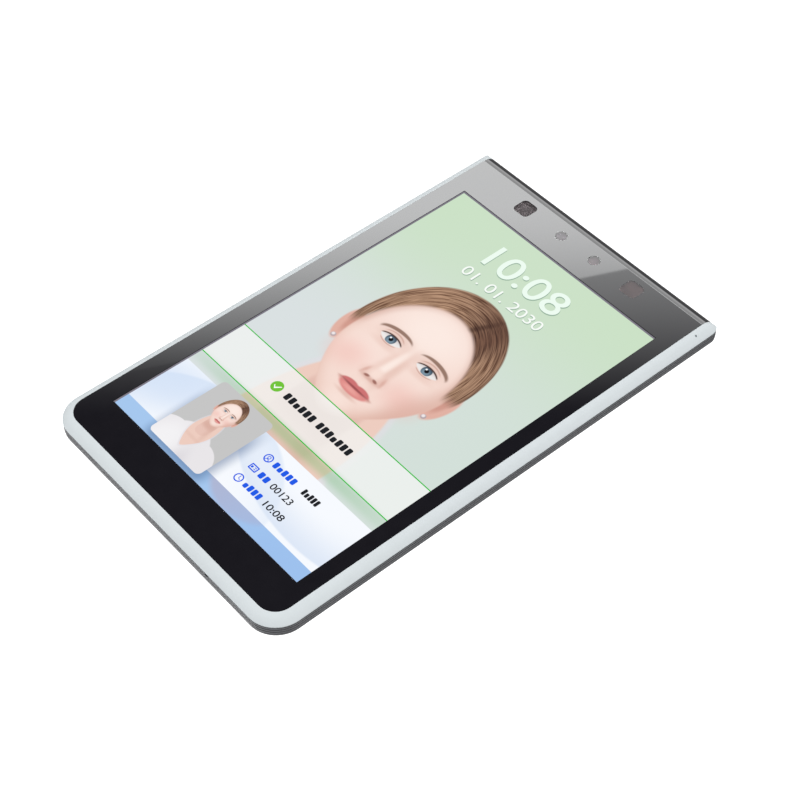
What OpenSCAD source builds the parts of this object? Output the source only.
// Face recognition access terminal: an 8 inch wall unit on a hook-on steel bracket.
// Lies on its back. X runs to the right of the screen, Y to its top, Z out of the glass.
// The origin is on the wall face of the bracket, under the middle of the terminal.

/* [Screen] */
// Width of the lit picture
screen_w = 107.6; // [104:0.1:130]
// Length of the lit picture
screen_l = 172.2; // [165:0.1:220]
// Black border beside the picture
side_bezel = 7.35; // [6.5:0.05:14]
// Black border below the picture
bottom_bezel = 16.1; // [14:0.1:30]
// Flat black border above the picture
top_bezel = 17.2; // [16:0.1:30]

/* [Front] */
// Overall depth from the wall to the glass
depth = 22; // [21:0.1:34]
// Thickness of the cover glass
glass_t = 2; // [1.5:0.1:2.2]
// Corner radius of the glass at its lower end
glass_corner_r = 7.6; // [5:0.1:10]
// Radius of the bend at the top end of the glass
end_r = 7.2; // [6.5:0.1:7.7]
// Width of the light rim around the glass, seen from the front
rim_w = 4.3; // [3.8:0.1:7]
// Fall of the rim from the glass to its outer edge
rim_drop = 3.2; // [2.9:0.1:3.6]
// Height of the upright outer edge of the rim
rim_edge = 0.3; // [0.2:0.05:0.6]
// How far the rim bulges above a straight slope
rim_bulge = 0.35; // [0.1:0.05:0.6]
// Plan radius of the two top corners
top_corner_r = 5.4; // [2.5:0.1:6]

/* [Front windows] */
// Distance from the top of the picture up to the row of windows
row_up = 11.2; // [10.8:0.1:11.2]
// Centre distance of the two cameras
camera_gap = 18.2; // [16:0.1:24]
// Diameter of the clear window over each camera
camera_window_d = 5.2; // [4:0.1:6]
// Centre distance of the two light windows
light_gap = 59.8; // [54:0.1:70]
// Side of each light window
light_window = 7.8; // [6:0.1:8]
// Corner radius of the light windows
light_window_r = 2; // [1:0.1:2.5]

/* [Ribbed band] */
// Height of the ribbed side band
band_h = 4.6; // [4.4:0.1:6]
// Number of grooves in the band
grooves = 4; // [2:1:5]
// Height of each groove
groove_h = 0.45; // [0.3:0.05:0.6]
// Depth of each groove
groove_d = 0.5; // [0.3:0.1:0.8]
// Wall of the band behind the ribs
band_wall = 2; // [1.6:0.1:2.2]

/* [Rear box] */
// Step from the band to the side walls of the rear box
box_inset_x = 9.5; // [9:0.1:14]
// Step from the band to the lower wall of the rear box
box_inset_low = 9; // [8:0.1:14]
// Step from the band to the upper wall of the rear box
box_inset_top = 6; // [5:0.1:7]
// Corner radius of the rear box
box_r = 6; // [4:0.5:10]
// Wall and floor of the rear box
box_wall = 2; // [1.6:0.1:2.4]
// Thickness of the step behind the band
flange_t = 1.4; // [1.2:0.1:1.6]

/* [Wall bracket] */
// Thickness of the bracket sheet
bracket_t = 1.5; // [1.2:0.1:2]
// Step from the rear box in to the edge of the bracket, each side
bracket_inset = 7; // [4:0.5:8]
// Gap between the bracket and the terminal
bracket_gap = 0.3; // [0.2:0.05:0.5]
// Distance that the terminal slides up to come off its hooks
unhook = 6; // [5.5:0.1:7]
// Reach of each hook behind the housing floor
hook_reach = 4.5; // [3.5:0.1:5]
// Centre distance of the wall screw holes across
wall_hole_x = 70; // [66:0.5:76]
// Centre distance of the wall screw holes along
wall_hole_y = 150; // [140:0.5:156]
// Diameter of the wall screw holes
wall_hole_d = 4.5; // [3.5:0.1:5]

/* [Boards and fasteners] */
// Thickness of the main circuit board
board_t = 1.6; // [1:0.1:1.6]
// Gap between the main circuit board and the rear box, each side
board_margin = 5; // [2:0.5:6]
// Length of the main circuit board
board_l = 122; // [120:0.5:126]
// Shank diameter of the case screws
case_screw_d = 2.5; // [2:0.1:2.6]
// Shank diameter of the small board screws
board_screw_d = 2; // [1.6:0.1:2.3]
// Shank diameter of the security screw
security_screw_d = 3; // [2.5:0.1:3.5]
// Radial clearance of a screw in its threaded hole
thread_clear = 0.03; // [0.02:0.01:0.05]
// Clearance of pieces that drop into a pocket, per side
fit = 0.2; // [0.1:0.05:0.3]

/* [Moving pieces] */
// Diameter of the tamper plunger
plunger_d = 4; // [3:0.1:5]
// How far the tamper plunger springs out when the terminal leaves the wall
plunger_travel = 1.2; // [0.8:0.1:1.6]
// Diameter of the reset button
reset_d = 4; // [3:0.1:5]
// Travel of the reset button
reset_travel = 0.5; // [0.3:0.05:0.8]
// Radial clearance of the plunger and the button in their bores
slide_clear = 0.08; // [0.05:0.01:0.1]

/* [Hidden] */
$fn = 64;
eps = 0.01;

// Outline of the front
glass_w = screen_w + 2 * side_bezel;
body_w = glass_w + 2 * rim_w;
glass_l = bottom_bezel + screen_l + top_bezel;
body_l = rim_w + glass_l + end_r;
y_low = -body_l / 2;
y_top = body_l / 2;
glass_y0 = y_low + rim_w;
bend_y = glass_y0 + glass_l;
screen_y0 = glass_y0 + bottom_bezel;
screen_y1 = screen_y0 + screen_l;
row_y = screen_y1 + row_up;
camera_x = camera_gap / 2;
light_x = light_gap / 2;

// Levels, from the glass down to the wall
film_t = 0.1;
tape_t = 0.4;
ledge_t = 1.2;
glass_z = depth - glass_t;
film_z = glass_z - film_t;
ledge_top = film_z - tape_t;
ledge_z = ledge_top - ledge_t;
bend_z = depth - end_r;
rim_z = depth - rim_drop;
band_z = rim_z - band_h;
flange_top = band_z + flange_t;
gasket_t = 0.6;
skirt_z = flange_top + gasket_t;
plate_t = gasket_t;
plate_z = flange_top;
floor_z = bracket_t + bracket_gap;
floor_top = floor_z + box_wall;

// Skirt of the front frame, inside the band
skirt_wall = 1.5;
skirt_out = band_wall + fit;
skirt_in = skirt_out + skirt_wall;
skirt_top_y = bend_y + 0.6;

// Display stack
lcd_side = 3.5;
lcd_foot = 8.4;
lcd_gap = 0.25;
cell_t = 1.3;
lcd_w = screen_w + 2 * lcd_side;
lcd_y0 = screen_y0 - lcd_foot;
lcd_y1 = screen_y1 + lcd_side;
lcd_top = glass_z - lcd_gap;
cell_z = lcd_top - cell_t;
backlight_z = skirt_z;
ribbon_w = 38;

// Rear box
box_w = body_w - 2 * box_inset_x;
box_y0 = y_low + box_inset_low;
box_y1 = y_top - box_inset_top;
inner_y0 = box_y0 + box_wall;
inner_y1 = box_y1 - box_wall;
bracket_w = box_w - 2 * bracket_inset;

// Main board, hung from standoffs on the mid plate
standoff = 3.6;
board_top = plate_z - standoff;
board_z = board_top - board_t;
board_w = box_w - 2 * box_wall - 2 * board_margin;
board_y0 = inner_y0 + 15.5;
board_y1 = board_y0 + board_l;
board_mid_y = (board_y0 + board_y1) / 2;
board_hole_x = board_w / 2 - 4;
board_hole_y = board_l / 2 - 4;

// Connector bay in the floor
bay_w = 54;
bay_l = 32;
bay_lip = 3;
bay_y = inner_y0 + 37.5;
cover_t = 1;
grommet_d = 14;
bay_screw_x = bay_w / 2 + 5;
bay_screw_y = bay_l / 2 - 4;

// Moving pieces near the bay
plunger_x = -18;
reset_x = 18;
button_y = bay_y + bay_l / 2 + 14;

// Camera and light boards
camera_board_w = 42;
camera_board_t = 1.2;
barrel_d = 7;
camera_len = 7.7;
camera_board_z = ledge_top - camera_len - camera_board_t;
light_board_z = flange_top - 1;
light_pocket = light_window + 1.4;
light_side = light_window + 2.2;
camera_boss_y = row_y - 5;
board_end_clear = 0.2;
board_end_y = inner_y1 - board_end_clear;

// Security screw at the lower end
tab_gap = 0.4;
screw_z = floor_top + 3.4;
tab_y = box_y0 - tab_gap;
screw_reach = 5.4;

// Hooks
hook_w = 8;
hook_stem = 2;
hook_x = bracket_w / 2 - 7;
hook_ys = [box_y0 + 30, box_y1 - 48];
hook_gap = 0.4;
hook_t = 1.4;

// Case screws run up through the step into bosses on the frame
boss_d = 4;
case_x = lcd_w / 2 + fit + 0.1 + boss_d / 2;
case_ys = [for (i = [0:4]) glass_y0 + 16 + i * (glass_l - 34) / 4];
case_head_d = 4.4;
case_head_h = 1.2;

module block(x0, x1, y0, y1, z0, z1) {
    translate([x0, y0, z0])
        cube([x1 - x0, y1 - y0, z1 - z0]);
}

// Block centred on a point in plan, from z0 up
module pad(x, y, w, l, z0, h) {
    translate([x - w / 2, y - l / 2, z0])
        cube([w, l, h]);
}

module rod(x, y, d, z0, h) {
    translate([x, y, z0])
        cylinder(d = d, h = h);
}

// Rectangle with one radius at its lower corners and another at its upper ones
module outline(w, y0, y1, r_low, r_top) {
    translate([-w / 2, y0 + r_low])
        square([w, y1 - r_top - y0 - r_low]);
    translate([-w / 2 + r_low, y0])
        square([w - 2 * r_low, r_low + eps]);
    translate([-w / 2 + r_top, y1 - r_top - eps])
        square([w - 2 * r_top, r_top + eps]);
    for (side = [-1, 1]) {
        translate([side * (w / 2 - r_low), y0 + r_low])
            circle(r = r_low);
        translate([side * (w / 2 - r_top), y1 - r_top])
            circle(r = r_top);
    }
}

// Outer outline of the terminal, drawn in by an inset
module body_outline(inset) {
    outline(body_w - 2 * inset, y_low + inset, y_top - inset,
        glass_corner_r + rim_w - inset, max(top_corner_r - inset, 0.4));
}

module body_layer(inset, z0, z1) {
    translate([0, 0, z0])
        linear_extrude(z1 - z0)
            body_outline(inset);
}

// Rounded pad, centred on a point in plan
module soft_pad(x, y, w, l, r, z0, h) {
    translate([x, y, z0])
        linear_extrude(h)
            outline(w, -l / 2, l / 2, r, r);
}

// Everything under the bent end of the glass, shrunk by a depth
module under_bend(shrink, width) {
    r = end_r - shrink;
    translate([-width / 2, 0, 0])
        rotate([90, 0, 90])
            linear_extrude(width) {
                translate([y_low - 1, -1])
                    square([bend_y - y_low + 1, bend_z + r + 1]);
                translate([bend_y - eps, -1])
                    square([r + eps, bend_z + 1]);
                translate([bend_y, bend_z])
                    circle(r = r);
            }
}

// Section of a bent sheet: flat from y0 and then round the end
module bent_section(outer, inner, y0) {
    translate([y0, bend_z + inner])
        square([bend_y - y0, outer - inner]);
    intersection() {
        difference() {
            translate([bend_y, bend_z])
                circle(r = outer);
            translate([bend_y, bend_z])
                circle(r = inner);
        }
        translate([bend_y, bend_z])
            square([outer + 1, outer + 1]);
    }
}

module bent_sheet(outer, inner, y0, width) {
    translate([-width / 2, 0, 0])
        rotate([90, 0, 90])
            linear_extrude(width)
                bent_section(outer, inner, y0);
}

module glass_plan(inset, z0, z1) {
    translate([0, 0, z0])
        linear_extrude(z1 - z0)
            outline(glass_w - 2 * inset, glass_y0 + inset, y_top + 1,
                glass_corner_r - inset, 0.5);
}

// Holes for the cameras and lights in the row above the picture
module row_holes(camera_d, light_w, z0, h) {
    for (side = [-1, 1]) {
        rod(side * camera_x, row_y, camera_d, z0, h);
        soft_pad(side * light_x, row_y, light_w, light_w, light_window_r, z0, h);
    }
}

module cover_glass() {
    color([0.85, 0.9, 0.92, 0.35])
        intersection() {
            bent_sheet(end_r, end_r - glass_t, glass_y0, glass_w - 0.1);
            glass_plan(0.05, 0, depth + 1);
        }
}

module border_film() {
    color([0.07, 0.07, 0.08])
        difference() {
            intersection() {
                bent_sheet(end_r - glass_t, end_r - glass_t - film_t, glass_y0, glass_w - 0.6);
                glass_plan(0.3, 0, depth + 1);
            }
            block(-screen_w / 2, screen_w / 2, screen_y0, screen_y1, film_z - 1, glass_z + 1);
            row_holes(camera_window_d, light_window, film_z - 1, 2);
        }
}

module glass_tape() {
    color([0.2, 0.2, 0.22])
        difference() {
            intersection() {
                glass_plan(0.5, ledge_top, film_z);
                block(-body_w, body_w, y_low, bend_y, 0, depth);
            }
            block(-lcd_w / 2 - 0.6, lcd_w / 2 + 0.6, lcd_y0 - 0.6, lcd_y1 + 0.6,
                ledge_top - 1, film_z + 1);
            row_holes(barrel_d + 1, light_pocket + 0.6, ledge_top - 1, 3);
        }
}

// Rim section: x is the distance out from the glass, y is the level
rim_chord = sqrt(rim_w * rim_w + (rim_drop - rim_edge) * (rim_drop - rim_edge));
rim_r = (rim_chord * rim_chord / 4 + rim_bulge * rim_bulge) / (2 * rim_bulge);
rim_slope = atan((rim_drop - rim_edge) / rim_w);
rim_centre = [
    rim_w / 2 - (rim_r - rim_bulge) * sin(rim_slope),
    depth - (rim_drop - rim_edge) / 2 - (rim_r - rim_bulge) * cos(rim_slope)];

module rim_section(start) {
    intersection() {
        translate([start, rim_z])
            square([rim_w, rim_drop]);
        translate([start + rim_centre[0], rim_centre[1]])
            circle(r = rim_r, $fn = 128);
    }
}

// The light rim runs up one side, round the lower end and up the other side
module rim() {
    corner_y = glass_y0 + glass_corner_r;
    run = y_top - corner_y;
    for (side = [0, 1])
        mirror([side, 0, 0]) {
            translate([glass_w / 2, y_top, 0])
                rotate([90, 0, 0])
                    linear_extrude(run)
                        rim_section(0);
            translate([glass_w / 2 - glass_corner_r, corner_y, 0])
                rotate([0, 0, -90])
                    rotate_extrude(angle = 90)
                        rim_section(glass_corner_r);
        }
    translate([-glass_w / 2 + glass_corner_r, glass_y0, 0])
        rotate([90, 0, 90])
            linear_extrude(glass_w - 2 * glass_corner_r)
                mirror([1, 0])
                    rim_section(0);
}

module skirt_outline(inset) {
    outline(body_w - 2 * inset, y_low + inset, skirt_top_y - (inset - skirt_out),
        glass_corner_r + rim_w - inset, 1.8 - (inset - skirt_out) / 2);
}

// Sound passage of the microphone, from the rim to the capsule
mic_rim_x = glass_w / 2 + rim_w * 0.45;
mic_x = mic_rim_x - 4;
mic_y = row_y + 0.8;
mic_hole_d = 0.9;

module sound_passage() {
    channel_z = ledge_z + ledge_t / 2;
    rod(mic_rim_x, mic_y, mic_hole_d, channel_z, depth);
    rod(mic_x, mic_y, mic_hole_d, ledge_z - 1, channel_z - ledge_z + 1);
    translate([mic_x - mic_hole_d / 2, mic_y, channel_z])
        rotate([0, 90, 0])
            cylinder(d = mic_hole_d * 0.8, h = mic_rim_x - mic_x + mic_hole_d);
}

module front_frame() {
    color([0.86, 0.89, 0.9])
        difference() {
            union() {
                intersection() {
                    rim();
                    body_layer(0, rim_z, depth);
                    under_bend(0, body_w + 2);
                }
                intersection() {
                    translate([0, 0, ledge_z])
                        linear_extrude(ledge_t)
                            outline(body_w - 2 * skirt_out, y_low + skirt_out, bend_y,
                                glass_corner_r + rim_w - skirt_out, 0.6);
                    under_bend(end_r - (ledge_top - bend_z), body_w);
                }
                bent_sheet(ledge_top - bend_z, ledge_z - bend_z, bend_y - 2, glass_w - 0.1);
                translate([0, 0, skirt_z])
                    linear_extrude(ledge_z - skirt_z + eps)
                        difference() {
                            skirt_outline(skirt_out);
                            skirt_outline(skirt_in);
                        }
                for (side = [-1, 1]) {
                    for (y = case_ys)
                        rod(side * case_x, y, boss_d, skirt_z, ledge_z - skirt_z + eps);
                    rod(side * (camera_board_w / 2 - 3), camera_boss_y, 4.4,
                        camera_board_z + camera_board_t,
                        ledge_z - camera_board_z - camera_board_t + eps);
                }
            }
            block(-lcd_w / 2 - fit, lcd_w / 2 + fit, lcd_y0 - fit, lcd_y1 + fit,
                ledge_z - 1, depth);
            // room for the display ribbon below the panel
            block(-ribbon_w / 2 - 2, ribbon_w / 2 + 2, lcd_y0 - 1, lcd_y0, ledge_z - 1, depth);
            row_holes(barrel_d + 2 * fit, light_pocket, ledge_z - 0.5, ledge_t + 1);
            for (side = [-1, 1]) {
                for (y = case_ys)
                    rod(side * case_x, y, case_screw_d + 2 * thread_clear, skirt_z - 1, 2.7);
                rod(side * (camera_board_w / 2 - 3), camera_boss_y,
                    board_screw_d + 2 * thread_clear, camera_board_z, 5);
            }
            sound_passage();
        }
}

module lcd_panel() {
    color([0.1, 0.12, 0.14])
        block(-lcd_w / 2, lcd_w / 2, lcd_y0, lcd_y1, cell_z, lcd_top);
}

module lcd_backlight() {
    color([0.75, 0.76, 0.78])
        difference() {
            block(-lcd_w / 2, lcd_w / 2, lcd_y0, lcd_y1, backlight_z, cell_z);
            for (i = [-2:2])
                pad(i * 20, (lcd_y0 + lcd_y1) / 2, 8, lcd_y1 - lcd_y0 - 30, backlight_z - 1, 1.3);
        }
}

// Stamped plate that backs the display and carries the main board
module mid_plate() {
    color([0.62, 0.64, 0.66])
        difference() {
            union() {
                translate([0, 0, plate_z])
                    linear_extrude(plate_t)
                        skirt_outline(skirt_in + fit);
                for (side = [-1, 1])
                    for (end = [-1, 1])
                        rod(side * board_hole_x, board_mid_y + end * board_hole_y, 5,
                            board_top, standoff + eps);
            }
            for (side = [-1, 1]) {
                for (y = case_ys)
                    rod(side * case_x, y, case_screw_d + 0.4, plate_z - 1, 3);
                for (end = [-1, 1])
                    rod(side * board_hole_x, board_mid_y + end * board_hole_y,
                        board_screw_d + 2 * thread_clear, board_top - 1, standoff);
                pad(side * 40, board_mid_y, 16, 40, plate_z - 1, 3);
            }
            block(-light_x - 12, light_x + 12, lcd_y1 + 0.3, y_top, plate_z - 1, plate_z + 3);
            block(-24, 24, inner_y0 - 0.3, lcd_y0 + 0.2, plate_z - 1, plate_z + 3);
        }
}

module camera(lens_color) {
    holder = 9;
    lens_cone = 0.6;
    color(lens_color)
        difference() {
            union() {
                pad(0, 0, holder, holder, camera_board_z + camera_board_t, 3.6);
                rod(0, 0, barrel_d, camera_board_z + camera_board_t, camera_len);
            }
            translate([0, 0, ledge_top - lens_cone])
                cylinder(d1 = 3, d2 = 5, h = lens_cone + eps);
        }
}

module color_camera() {
    translate([-camera_x, row_y, 0])
        camera([0.1, 0.1, 0.12]);
}

module infrared_camera() {
    translate([camera_x, row_y, 0])
        camera([0.16, 0.1, 0.12]);
}

module camera_board() {
    color([0.1, 0.35, 0.2])
        difference() {
            block(-camera_board_w / 2, camera_board_w / 2, row_y - 9, board_end_y,
                camera_board_z, camera_board_z + camera_board_t);
            for (side = [-1, 1])
                rod(side * (camera_board_w / 2 - 3), camera_boss_y, board_screw_d + 0.3,
                    camera_board_z - 1, 4);
        }
}

module light_window_pane(x) {
    soft_pad(x, row_y, light_pocket - 0.2, light_pocket - 0.2, light_window_r, ledge_z,
        film_z - ledge_z);
}

module fill_light_window() {
    color([0.4, 0.38, 0.38])
        light_window_pane(-light_x);
}

module infrared_light_window() {
    color([0.3, 0.14, 0.15])
        light_window_pane(light_x);
}

// Board with a square of four lamps
module light_board(x) {
    lamp = 2.8;
    color([0.1, 0.35, 0.2]) {
        block(x - light_side / 2, x + light_side / 2, row_y - light_side / 2, board_end_y,
            light_board_z, light_board_z + 1);
        for (dx = [-1, 1])
            for (dy = [-1, 1])
                pad(x + dx * 1.9, row_y + dy * 1.9, lamp, lamp, light_board_z + 1 - eps, 0.8);
    }
}

module fill_light_board() {
    light_board(-light_x);
}

module infrared_light_board() {
    light_board(light_x);
}

module light_reflectors() {
    color("white")
        for (side = [-1, 1])
            difference() {
                pad(side * light_x, row_y, light_side, light_side, light_board_z + 1,
                    ledge_z - light_board_z - 1);
                pad(side * light_x, row_y, light_window, light_window, light_board_z, 8);
            }
}

module microphone() {
    color([0.7, 0.68, 0.5]) {
        difference() {
            pad(mic_x, mic_y, 3.6, 5, ledge_z - 0.8, 0.8);
            rod(mic_x, mic_y, mic_hole_d, ledge_z - 0.5, 1);
        }
        pad(mic_x, mic_y, 2.8, 3.6, ledge_z - 1.7, 0.91);
    }
}

module card_antenna_board() {
    edge = y_low + skirt_in + 0.3;
    strip = lcd_y0 - 1.2 - edge;
    middle = edge + strip / 2;
    color([0.1, 0.3, 0.5])
        difference() {
            pad(0, middle, 92, strip, ledge_z - 0.8, 0.8);
            pad(0, middle, 80, strip - 3, ledge_z - 1, 2);
        }
}

module wifi_antenna() {
    color([0.75, 0.55, 0.2])
        pad(-glass_w / 2 + 12, row_y - 1, 14, 6, ledge_z - 0.3, 0.3);
}

module hook_slot(y) {
    for (side = [-1, 1])
        block(side * hook_x - hook_w / 2 - 0.5, side * hook_x + hook_w / 2 + 0.5,
            y - unhook - 0.6, y + hook_stem + bracket_gap, floor_z - 1, floor_top + 1);
}

// Closed pocket over each hook slot, so the slots don't open into the case
hook_clear_z = floor_top + hook_gap + hook_t + 0.5;
pocket_wall = 1.2;

module hook_pocket(y, grow, z0, z1) {
    for (side = [-1, 1])
        block(side * hook_x - hook_w / 2 - 0.5 - grow, side * hook_x + hook_w / 2 + 0.5 + grow,
            y - unhook - 0.6 - grow, y + hook_stem + hook_reach + 0.6 + grow, z0, z1);
}

// Stack of full and drawn-in layers that makes the ribs of the band
module ribbed_band() {
    pitch = band_h / grooves;
    for (i = [0:grooves - 1]) {
        top = rim_z - i * pitch;
        body_layer(groove_d, top - groove_h, top);
        body_layer(i == grooves - 1 ? 0.15 : 0, top - pitch, top - groove_h);
    }
}

module thermal_pedestal() {
    pad(0, board_mid_y + 16, 30, 30, floor_top - eps, pedestal_top - floor_top + eps);
}

shield_h = 2.2;
thermal_t = 1;
pedestal_top = board_z - shield_h - thermal_t;

module grille() {
    slot_w = 1.4;
    for (i = [-3:3])
        block(speaker_x + i * 3.2 - slot_w / 2, speaker_x + i * 3.2 + slot_w / 2,
            box_y0 - 1, inner_y0 + 1, floor_top + 2, floor_top + 8.4);
}

speaker_x = 36;
speaker_w = 28;
speaker_h = 9.6;
speaker_depth = 5.5;

pry_x = 29.8;
pry_w = 1.6;
pry_d = 0.9;
pry_h = 1.6;

module rear_housing() {
    color([0.3, 0.3, 0.31])
        difference() {
            union() {
                difference() {
                    union() {
                        intersection() {
                            ribbed_band();
                            under_bend(0, body_w + 2);
                        }
                        translate([0, 0, floor_z])
                            linear_extrude(band_z - floor_z + eps)
                                outline(box_w, box_y0, box_y1, box_r, box_r);
                    }
                    // room for the front frame above the step
                    translate([0, 0, flange_top])
                        linear_extrude(depth)
                            outline(body_w - 2 * band_wall, y_low + band_wall, bend_y + 2.2,
                                glass_corner_r + rim_w - band_wall, 1.6);
                    // room for the bent end of the glass and the frame under it
                    block(-glass_w / 2 - 0.1, glass_w / 2 + 0.1, bend_y - 0.5, y_top + 1,
                        bend_z - 0.1, depth);
                    // inside of the rear box
                    translate([0, 0, floor_top])
                        linear_extrude(depth)
                            outline(box_w - 2 * box_wall, inner_y0, inner_y1,
                                box_r - box_wall, box_r - box_wall);
                }
                for (y = hook_ys)
                    hook_pocket(y, pocket_wall, floor_top - eps, hook_clear_z + pocket_wall);
                thermal_pedestal();
                // boss for the security screw
                translate([0, inner_y0 - eps, screw_z])
                    rotate([-90, 0, 0])
                        cylinder(d = security_screw_d + 3.6, h = screw_reach + 0.6);
                // bosses for the bay cover
                for (side = [-1, 1])
                    for (end = [-1, 1])
                        rod(side * bay_screw_x, bay_y + end * bay_screw_y, board_screw_d + 2.6,
                            floor_top - eps, 2.4);
                // guides for the plunger and the button
                rod(plunger_x, button_y, plunger_d + 3, floor_top - eps, 1.5);
                rod(reset_x, button_y, reset_d + 3, floor_top - eps, 1.5);
            }
            for (y = hook_ys) {
                hook_slot(y);
                hook_pocket(y, 0, floor_top, hook_clear_z);
            }
            // connector bay and the rebate of its cover
            pad(0, bay_y, bay_w, bay_l, floor_z - 1, box_wall + 4);
            soft_pad(0, bay_y, 2 * bay_screw_x + 7, bay_l + 2 * bay_lip, 3, floor_z - 1,
                1 + cover_t);
            for (side = [-1, 1]) {
                for (end = [-1, 1])
                    rod(side * bay_screw_x, bay_y + end * bay_screw_y,
                        board_screw_d + 2 * thread_clear, floor_z, 3.6);
                for (y = case_ys)
                    rod(side * case_x, y, case_screw_d + 0.4, band_z - 1, flange_t + 2);
            }
            rod(plunger_x, button_y, plunger_d + 2 * slide_clear, floor_z - 1, 6);
            rod(reset_x, button_y, reset_d + 2 * slide_clear, floor_z - 1, 6);
            translate([0, box_y0 - 1, screw_z])
                rotate([-90, 0, 0])
                    cylinder(d = security_screw_d + 2 * thread_clear + 0.06,
                        h = box_wall + screw_reach + 1);
            grille();
            // small pry notch in the lower run of the band
            pad(pry_x, y_low, pry_w, 2 * pry_d, rim_z - pry_h, pry_h + 1);
        }
}

module housing_gasket() {
    color([0.12, 0.12, 0.12])
        translate([0, 0, flange_top])
            linear_extrude(gasket_t)
                difference() {
                    skirt_outline(skirt_out + 0.1);
                    skirt_outline(skirt_in - 0.1);
                }
}

// Screw with a hexagon socket, head below, shank up
module screw(d, head_d, head_h, reach) {
    difference() {
        union() {
            translate([0, 0, -head_h])
                cylinder(d = head_d, h = head_h);
            translate([0, 0, -eps])
                cylinder(d = d, h = reach + eps);
        }
        translate([0, 0, -head_h - eps])
            cylinder(d = d * 0.75, h = head_h * 0.6, $fn = 6);
    }
}

module case_screws() {
    color([0.7, 0.71, 0.72])
        for (side = [-1, 1])
            for (y = case_ys)
                translate([side * case_x, y, band_z])
                    screw(case_screw_d, case_head_d, case_head_h, flange_t + plate_t + 1.5);
}

module board_screws() {
    color([0.7, 0.71, 0.72]) {
        for (side = [-1, 1]) {
            for (end = [-1, 1])
                translate([side * board_hole_x, board_mid_y + end * board_hole_y, board_z])
                    screw(board_screw_d, board_screw_d * 1.9, 1.2, board_t + 2.2);
            translate([side * (camera_board_w / 2 - 3), camera_boss_y, camera_board_z])
                screw(board_screw_d, board_screw_d * 1.9, 1.2, camera_board_t + 2.5);
        }
    }
}

jack_w = 16;
jack_l = 18;
jack_x = -17;
jack_y = bay_y + 4;
jack_z = floor_top - 0.4;
jack_h = 10.6;

module main_board() {
    color([0.08, 0.35, 0.2])
        difference() {
            block(-board_w / 2, board_w / 2, board_y0, board_y1, board_z, board_top);
            for (side = [-1, 1])
                for (end = [-1, 1])
                    rod(side * board_hole_x, board_mid_y + end * board_hole_y,
                        board_screw_d + 0.3, board_z - 1, board_t + 2);
            pad(jack_x, jack_y, jack_w + 2 * fit, jack_l + 2 * fit, board_z - 1, board_t + 2);
        }
}

module processor() {
    color([0.13, 0.13, 0.14])
        pad(-5, board_mid_y + 16, 14, 14, board_z - 1.3, 1.3);
}

module memory_chips() {
    color([0.13, 0.13, 0.14])
        for (end = [-1, 1])
            pad(9, board_mid_y + 16 + end * 7, 8, 11, board_z - 1, 1);
}

module shield_can() {
    size = 32;
    color([0.78, 0.78, 0.76])
        difference() {
            pad(0, board_mid_y + 16, size, size, board_z - shield_h, shield_h);
            pad(0, board_mid_y + 16, size - 0.6, size - 0.6, board_z - shield_h + 0.3, shield_h);
        }
}

module thermal_pad() {
    color([0.6, 0.66, 0.72])
        pad(0, board_mid_y + 16, 28, 28, pedestal_top, thermal_t);
}

module wifi_module() {
    color([0.78, 0.78, 0.76]) {
        pad(-30, board_y1 - 16, 18, 13, board_top, 0.8);
        pad(-31, board_y1 - 16, 14, 11, board_top + 0.8 - eps, 1.5);
    }
}

module coin_cell_holder() {
    color([0.15, 0.15, 0.15])
        difference() {
            translate([30, board_y1 - 18, board_top])
                cylinder(d = 16, h = 2.6);
            translate([30, board_y1 - 18, board_top + 0.5])
                cylinder(d = 12.5 + 2 * fit, h = 3);
        }
}

module coin_cell() {
    color([0.8, 0.8, 0.8])
        translate([30, board_y1 - 18, board_top + 0.5])
            cylinder(d = 12.5, h = 2);
}

relay_h = 5.2;

module relay() {
    color([0.85, 0.85, 0.83])
        difference() {
            pad(board_w / 2 - 7, bay_y + 8, 9, 15, board_z - relay_h, relay_h);
            pad(board_w / 2 - 7, bay_y + 0.5, 3, 1, board_z - relay_h + 1.2, 2.5);
        }
}

module capacitors() {
    color([0.75, 0.76, 0.78])
        for (i = [0:2])
            rod(5 - board_w / 2, bay_y + 6 + i * 8, 6.3, board_z - 5.4, 5.4);
}

// Plug-in wire terminals with one wire hole and one screw well for each way
module terminal_block() {
    ways = 8;
    pitch = 3.5;
    block_x = 11;
    color([0.15, 0.45, 0.25])
        difference() {
            pad(block_x, bay_y, ways * pitch, 8, board_z - 6.4, 6.4);
            for (i = [0:ways - 1]) {
                x = block_x + (i - (ways - 1) / 2) * pitch;
                pad(x, bay_y - 3, 2.4, 3, board_z - 3.6, 2.4);
                rod(x, bay_y + 1.4, 2.4, board_z - 6.5, 1.6);
            }
        }
}

module ethernet_jack() {
    color([0.75, 0.76, 0.77])
        difference() {
            pad(jack_x, jack_y, jack_w, jack_l, jack_z, jack_h);
            block(jack_x - 6, jack_x + 6, jack_y - jack_l / 2 - 1, jack_y + 3,
                jack_z + 1.6, jack_z + 8.4);
            block(jack_x - 3, jack_x + 3, jack_y - jack_l / 2 - 1, jack_y + 3,
                jack_z + 0.8, jack_z + 2);
        }
}

module usb_port() {
    color([0.75, 0.76, 0.77])
        difference() {
            pad(18, bay_y - 10, 9, 7.4, board_z - 3.2, 3.2);
            block(18 - 4, 18 + 4, bay_y - 14, bay_y - 8, board_z - 2.8, board_z - 0.4);
        }
}

module flex_connectors() {
    color([0.9, 0.88, 0.8]) {
        pad(0, board_y0 + 4, 42, 4, board_top, 1);
        pad(0, board_y1 - 4, 24, 4, board_top, 1);
    }
}

// Flat ribbon from the lower edge of the display round to the main board
flex_t = 0.2;

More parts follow.
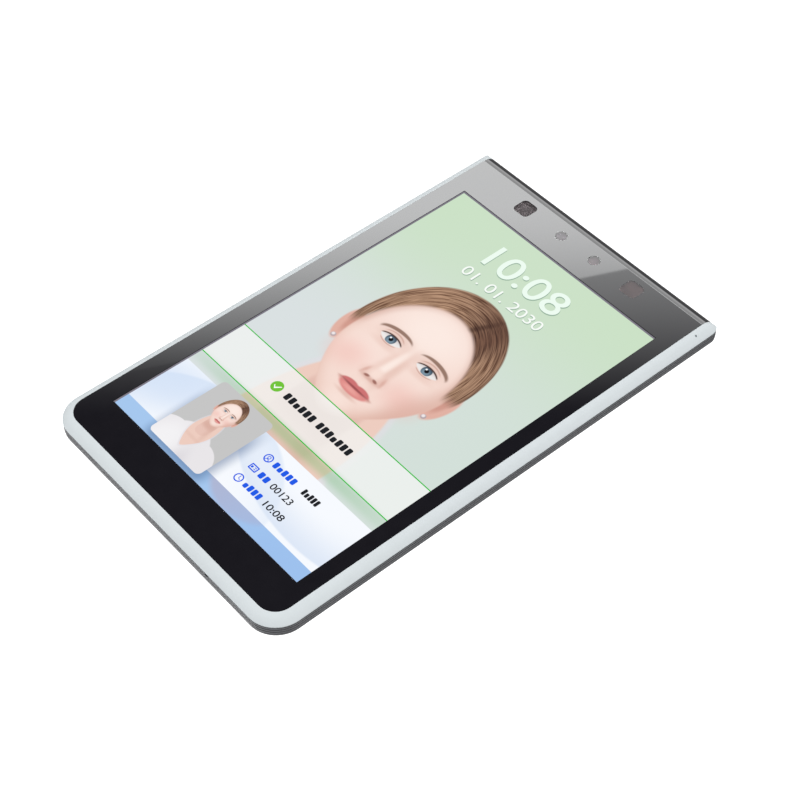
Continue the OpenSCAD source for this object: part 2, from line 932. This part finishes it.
module display_flex() {
    y0 = lcd_y0 - 0.6;
    color([0.72, 0.5, 0.2])
        translate([-ribbon_w / 2, 0, 0])
            rotate([90, 0, 90])
                linear_extrude(ribbon_w) {
                    translate([y0, cell_z + 0.4])
                        square([lcd_y0 - y0, flex_t]);
                    translate([y0, board_top + 1])
                        square([flex_t, cell_z + 0.4 + flex_t - board_top - 1]);
                    translate([y0, board_top + 1])
                        square([board_y0 + 5 - y0, flex_t]);
                }
}

module camera_flex() {
    z0 = camera_board_z + camera_board_t;
    y0 = board_y1 - 5;
    y1 = row_y - 5.2;
    step_y = board_y1 + 6;
    color([0.72, 0.5, 0.2])
        translate([-10, 0, 0])
            rotate([90, 0, 90])
                linear_extrude(20) {
                    translate([y0, board_top + 1])
                        square([step_y - y0 + flex_t, flex_t]);
                    translate([step_y, z0])
                        square([flex_t, board_top + 1 - z0]);
                    translate([step_y, z0])
                        square([y1 - step_y, flex_t]);
                }
}

module speaker() {
    y0 = inner_y0 + 0.6;
    color([0.15, 0.15, 0.16])
        difference() {
            block(speaker_x - speaker_w / 2, speaker_x + speaker_w / 2, y0, y0 + speaker_depth,
                floor_top + 0.4, floor_top + 0.4 + speaker_h);
            block(speaker_x - speaker_w / 2 + 1.5, speaker_x + speaker_w / 2 - 1.5, y0 - 1,
                y0 + 1.2, floor_top + 1.9, floor_top + speaker_h - 1.1);
        }
}

module speaker_gasket() {
    color([0.1, 0.1, 0.1])
        difference() {
            block(speaker_x - speaker_w / 2, speaker_x + speaker_w / 2, inner_y0,
                inner_y0 + 0.6, floor_top + 0.4, floor_top + 0.4 + speaker_h);
            block(speaker_x - speaker_w / 2 + 1.4, speaker_x + speaker_w / 2 - 1.4,
                inner_y0 - 1, inner_y0 + 1, floor_top + 1.8, floor_top + speaker_h - 1);
        }
}

// The plunger rests home against the wall and springs out through the bracket window
stop_t = 0.8;
guide_top = floor_top + 1.5;

module tamper_plunger() {
    color([0.85, 0.2, 0.15])
        translate([plunger_x, button_y, 0]) {
            translate([0, 0, 0.1])
                cylinder(d = plunger_d, h = guide_top + plunger_travel + 0.15);
            translate([0, 0, guide_top + plunger_travel + 0.2])
                cylinder(d = plunger_d + 2, h = stop_t);
        }
}

module tamper_switch() {
    color([0.15, 0.15, 0.15])
        pad(plunger_x, button_y, 6, 8, guide_top + plunger_travel + 0.4 + stop_t,
            board_z - guide_top - plunger_travel - 0.4 - stop_t);
}

module reset_button() {
    color([0.9, 0.9, 0.9])
        translate([reset_x, button_y, 0]) {
            translate([0, 0, floor_z + 0.2])
                cylinder(d = reset_d, h = guide_top - floor_z);
            translate([0, 0, guide_top + 0.1])
                cylinder(d = reset_d + 2, h = stop_t);
        }
}

module reset_switch() {
    stem_z = guide_top + 0.1 + stop_t + reset_travel + 0.2;
    color([0.15, 0.15, 0.15])
        pad(reset_x, button_y, 6, 6, stem_z, board_z - stem_z);
}

module bay_cover() {
    color([0.28, 0.28, 0.29])
        difference() {
            soft_pad(0, bay_y, 2 * bay_screw_x + 7 - 2 * fit, bay_l + 2 * bay_lip - 2 * fit,
                3 - fit, floor_z, cover_t);
            rod(0, bay_y - 6, grommet_d, floor_z - 1, 4);
            for (side = [-1, 1])
                for (end = [-1, 1])
                    rod(side * bay_screw_x, bay_y + end * bay_screw_y, board_screw_d + 0.3,
                        floor_z - 1, 4);
        }
}

module bay_cover_screws() {
    color([0.7, 0.71, 0.72])
        for (side = [-1, 1])
            for (end = [-1, 1])
                translate([side * bay_screw_x, bay_y + end * bay_screw_y, floor_z])
                    screw(board_screw_d, board_screw_d * 1.7, 1, cover_t + 2.2);
}

// Blank rubber grommet, pierced when the cables are fed in
module cable_grommet() {
    lip = 1.4;
    color([0.1, 0.1, 0.1])
        translate([0, bay_y - 6, 0])
            rotate_extrude() {
                translate([0, floor_z - 1])
                    square([grommet_d / 2 + lip, 1]);
                translate([0, floor_z - eps])
                    square([grommet_d / 2, cover_t + 2 * eps]);
                translate([0, floor_z + cover_t])
                    square([grommet_d / 2 + lip, 1]);
            }
}

window_w = 74;
window_y0 = bay_y - bay_l / 2 - 7;
window_y1 = button_y + unhook + plunger_d / 2 + 2;
tab_w = 18;

module wall_bracket() {
    bracket_y0 = tab_y - bracket_t;
    bracket_y1 = box_y1 - 20;
    hole_mid = window_y0 - 6 + wall_hole_y / 2;
    relief_l = 46;
    color([0.72, 0.73, 0.74])
        difference() {
            union() {
                linear_extrude(bracket_t)
                    outline(bracket_w, bracket_y0 + 6, bracket_y1, 5, 5);
                // tab folded up for the security screw
                block(-tab_w / 2, tab_w / 2, bracket_y0, bracket_y0 + 10, 0, bracket_t);
                block(-tab_w / 2, tab_w / 2, bracket_y0, tab_y, 0, screw_z + 4);
                for (side = [-1, 1])
                    for (y = hook_ys) {
                        pad(side * hook_x, y + hook_stem / 2, hook_w, hook_stem,
                            bracket_t - eps, floor_top + hook_gap + hook_t - bracket_t + eps);
                        block(side * hook_x - hook_w / 2, side * hook_x + hook_w / 2,
                            y + hook_stem - eps, y + hook_stem + hook_reach,
                            floor_top + hook_gap, floor_top + hook_gap + hook_t);
                    }
            }
            soft_pad(0, (window_y0 + window_y1) / 2, window_w, window_y1 - window_y0, 4,
                -1, bracket_t + 2);
            soft_pad(0, window_y1 + 18 + relief_l / 2, 40, relief_l, 4, -1, bracket_t + 2);
            for (side = [-1, 1])
                for (end = [-1, 1])
                    rod(side * wall_hole_x / 2, hole_mid + end * wall_hole_y / 2, wall_hole_d,
                        -1, bracket_t + 2);
            translate([0, tab_y - bracket_t - 1, screw_z])
                rotate([-90, 0, 0])
                    cylinder(d = security_screw_d + 0.4, h = bracket_t + 2);
        }
}

module security_screw() {
    color([0.7, 0.71, 0.72])
        translate([0, tab_y - bracket_t, screw_z])
            rotate([-90, 0, 0])
                screw(security_screw_d, security_screw_d * 1.9, 2,
                    bracket_t + tab_gap + screw_reach);
}

wall_bracket();
security_screw();
cover_glass();
border_film();
glass_tape();
front_frame();
lcd_panel();
lcd_backlight();
mid_plate();
color_camera();
infrared_camera();
camera_board();
fill_light_window();
infrared_light_window();
fill_light_board();
infrared_light_board();
light_reflectors();
microphone();
card_antenna_board();
wifi_antenna();
rear_housing();
housing_gasket();
case_screws();
main_board();
board_screws();
processor();
memory_chips();
shield_can();
thermal_pad();
wifi_module();
coin_cell_holder();
coin_cell();
relay();
capacitors();
terminal_block();
ethernet_jack();
usb_port();
flex_connectors();
display_flex();
camera_flex();
speaker();
speaker_gasket();
tamper_switch();
tamper_plunger();
reset_switch();
reset_button();
bay_cover();
bay_cover_screws();
cable_grommet();
